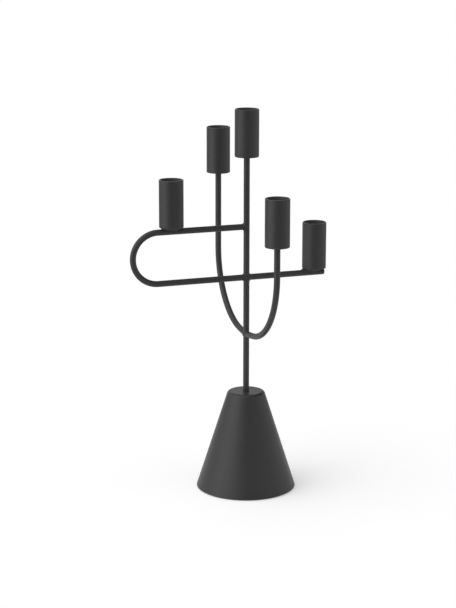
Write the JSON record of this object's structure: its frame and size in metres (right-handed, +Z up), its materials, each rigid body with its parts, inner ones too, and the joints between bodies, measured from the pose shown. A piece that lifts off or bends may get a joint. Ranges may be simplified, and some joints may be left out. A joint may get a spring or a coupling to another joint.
{
  "type": "candelabra",
  "caption": "Tabletop candelabra of bent steel rod: a weighted cone base carries a slim post with a hairpin loop, curved arms and tubular cups that hold taper candles.",
  "frame": {"origin": "middle of the felt pad's underside, where the post's axis meets the table", "axes": "+Z up along the post, +X along the lower bar towards its free end, +Y from the post towards the far arm, away from the picture's viewer"},
  "size_m": [0.2134, 0.1962, 0.4],
  "materials": {
    "black_coat": "satin black powder coat on steel",
    "cast_iron": "raw grey casting",
    "zinc_steel": "zinc-plated steel hardware",
    "felt": "pressed black felt"
  },
  "bodies": {
    "root": {"base_shell": "black_coat", "ballast": "cast_iron", "felt_pad": "felt", "tie_rod": "zinc_steel", "tie_rod_nuts": "zinc_steel", "flat_washers": "zinc_steel", "lock_washers": "zinc_steel", "post": "black_coat", "loop_arm": "black_coat", "free_bar": "black_coat", "far_arm": "black_coat", "near_arm": "black_coat", "arm_welds": "black_coat", "cup_welds": "black_coat", "post_cup_tube": "black_coat", "post_cup_floor": "black_coat", "far_arm_cup_tube": "black_coat", "far_arm_cup_floor": "black_coat", "near_arm_cup_tube": "black_coat", "near_arm_cup_floor": "black_coat", "loop_cup_tube": "black_coat", "loop_cup_floor": "black_coat", "free_bar_cup_tube": "black_coat", "free_bar_cup_floor": "black_coat"}
  },
  "joints": []
}
